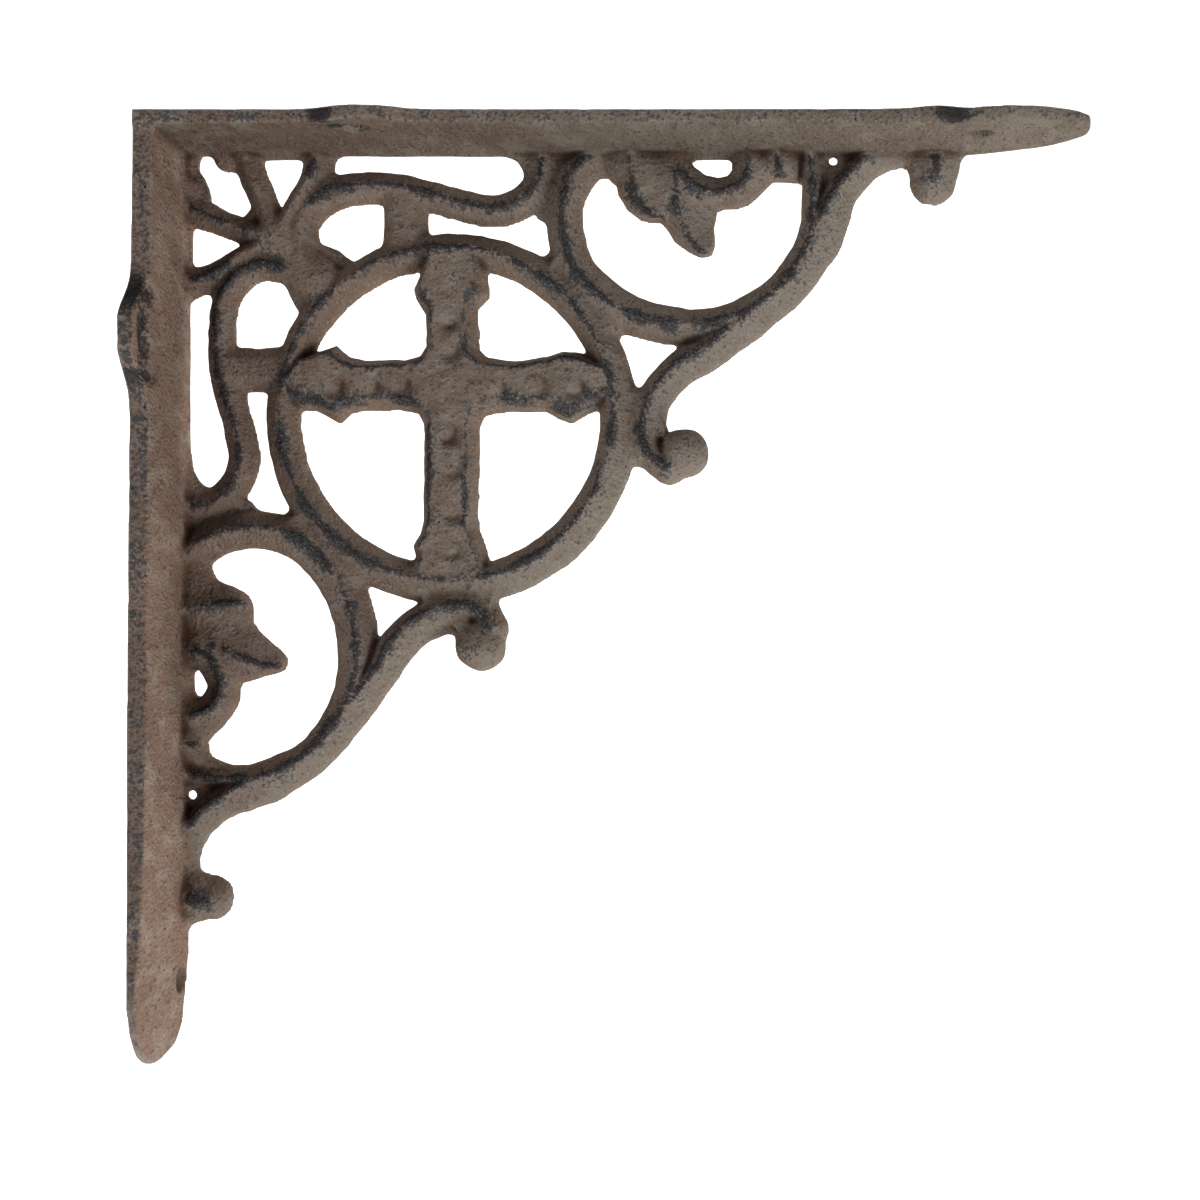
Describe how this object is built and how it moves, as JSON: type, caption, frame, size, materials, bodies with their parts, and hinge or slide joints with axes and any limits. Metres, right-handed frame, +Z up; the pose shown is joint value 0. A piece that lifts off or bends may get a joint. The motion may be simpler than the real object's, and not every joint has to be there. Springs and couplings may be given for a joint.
{
  "type": "ornate cast iron shelf bracket",
  "caption": "Right-angled cast iron shelf bracket: two screw straps with a ring, an upright cross, scrolls and leaves cast flat-backed between them.",
  "frame": {"origin": "middle of the wall strap's flat back face, half way down the strap and half way across it", "axes": "+X out from the wall along the shelf strap, +Z up towards the shelf, Y across the straps with the carved side facing -Y"},
  "size_m": [0.2, 0.0346, 0.2],
  "materials": {
    "cast_iron": "rough sand cast, matte brown patina, dark in the recesses and rubbed grey on the crests"
  },
  "bodies": {
    "root": {"cast_bracket": "cast_iron"}
  },
  "joints": []
}
